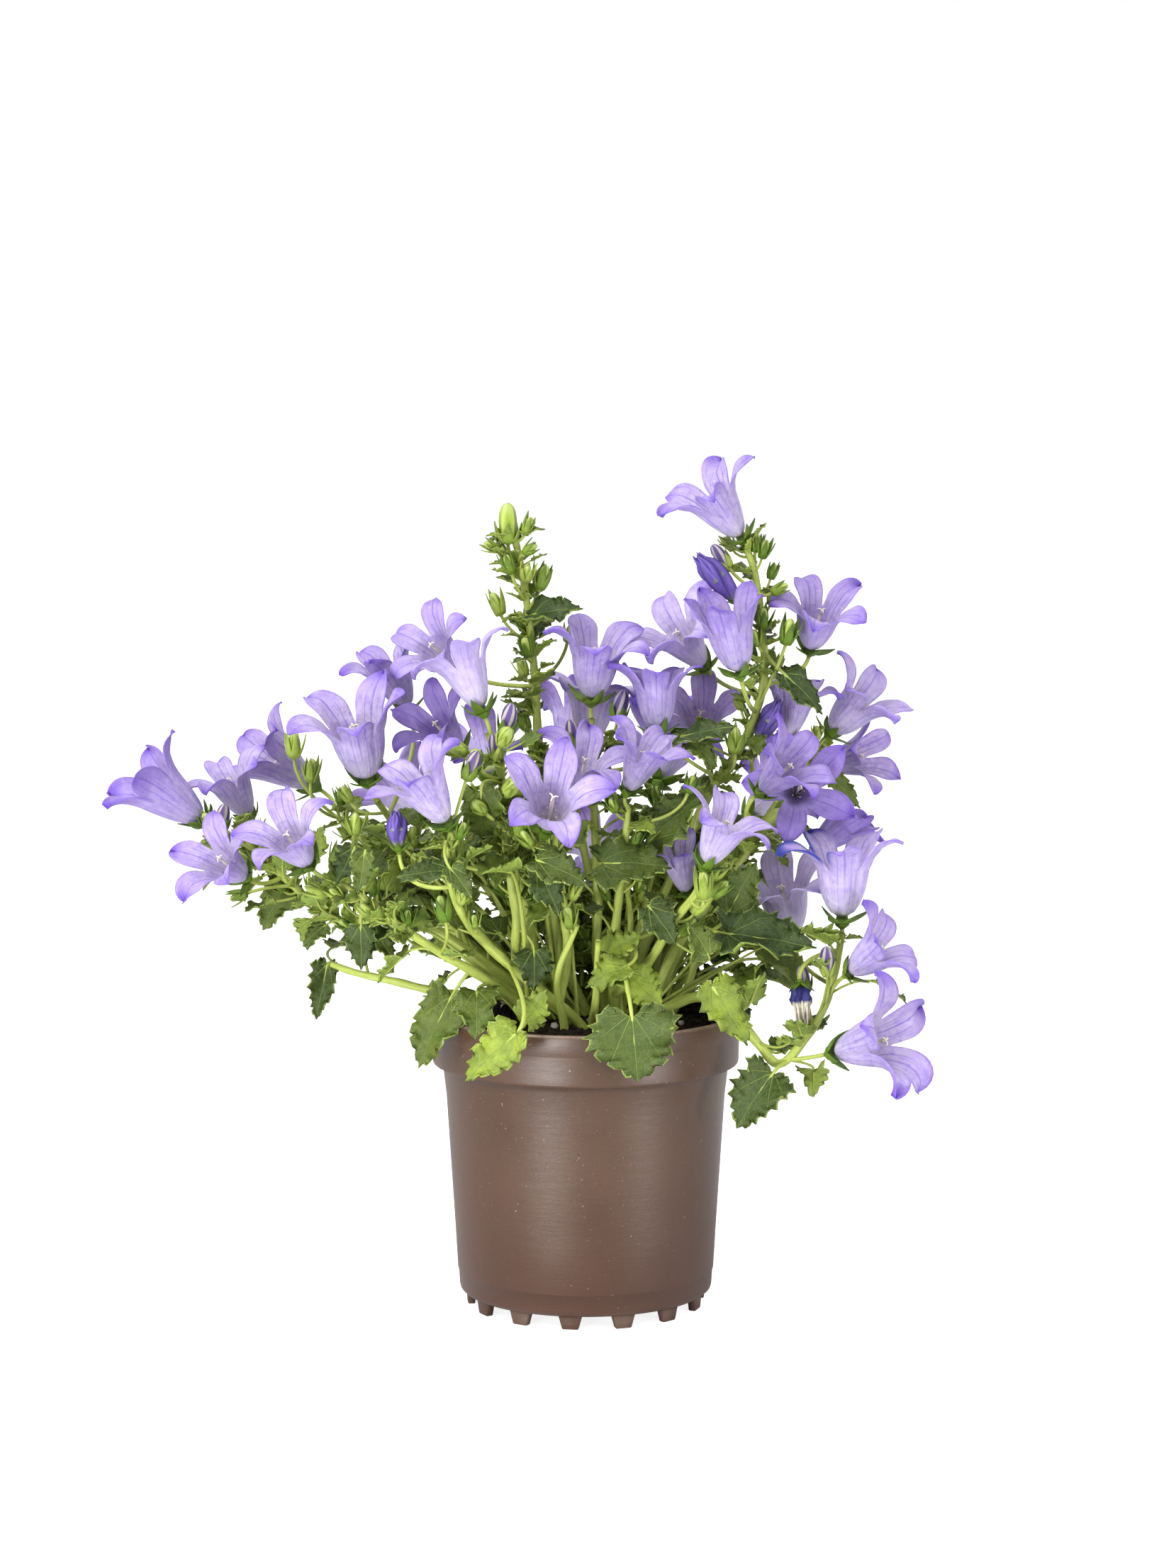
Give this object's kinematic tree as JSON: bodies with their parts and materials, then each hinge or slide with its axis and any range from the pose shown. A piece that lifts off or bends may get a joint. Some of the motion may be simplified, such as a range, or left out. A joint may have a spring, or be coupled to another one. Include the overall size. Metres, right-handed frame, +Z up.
{
  "type": "potted plant",
  "caption": "Potted dalmatian bellflower: a plastic nursery pot filled with soil, leafy stems from one crown, five-lobed violet bell blooms, closed buds and lobed, toothed leaves.",
  "frame": {"origin": "on the floor under the middle of the part's box; the pot's axis is off to the right and the front of it", "axes": "+Z up along the pot's axis, -Y towards the side with the hanging leaves, +X towards the side with the arching stem"},
  "size_m": [0.2748, 0.1908, 0.2886],
  "materials": {
    "pot": "satin",
    "soil": "coarse, moist and matte",
    "leafy": "leaf green with paler ribs, soft sheen",
    "petal": "violet with darker veins, velvet matte",
    "closed_petal": "deep violet with darker folds, matte",
    "withered": "dark blue, dry and creased"
  },
  "bodies": {
    "root": {"bloom_01": "petal", "bloom_02": "petal", "bloom_03": "petal", "bloom_04": "petal", "bloom_05": "petal", "bloom_06": "petal", "bloom_07": "petal", "bloom_08": "petal", "bloom_09": "petal", "bloom_10": "petal", "bloom_11": "petal", "bloom_12": "petal", "bloom_13": "petal", "bloom_14": "petal", "bloom_15": "petal", "bloom_16": "petal", "bloom_17": "petal", "bloom_18": "petal", "bloom_19": "petal", "bloom_20": "petal", "bloom_21": "petal", "bloom_22": "petal", "bloom_23": "petal", "bloom_24": "petal", "bloom_25": "petal", "bloom_26": "petal", "bloom_27": "petal", "bloom_28": "petal", "bloom_29": "petal", "bloom_30": "petal", "bloom_31": "petal", "bloom_32": "petal", "bloom_33": "petal", "bloom_34": "petal", "bloom_35": "petal", "bloom_36": "petal", "bloom_37": "petal", "bloom_38": "petal", "bloom_39": "petal", "bloom_40": "petal", "bloom_spent": "withered", "bud_dark": "closed_petal", "bud_long": "closed_petal", "bud_open": "closed_petal", "pot": "pot", "soil": "soil", "stem_arch_right": "leafy", "stem_back_left": "leafy", "stem_back_mid": "leafy", "stem_back_right": "leafy", "stem_bell_left": "leafy", "stem_bud_spire": "leafy", "stem_centre": "leafy", "stem_centre_right": "leafy", "stem_front": "leafy", "stem_light_bell": "leafy", "stem_low_left": "leafy", "stem_reach_left": "leafy", "stem_right": "leafy", "stem_tall_right": "leafy"}
  },
  "joints": []
}
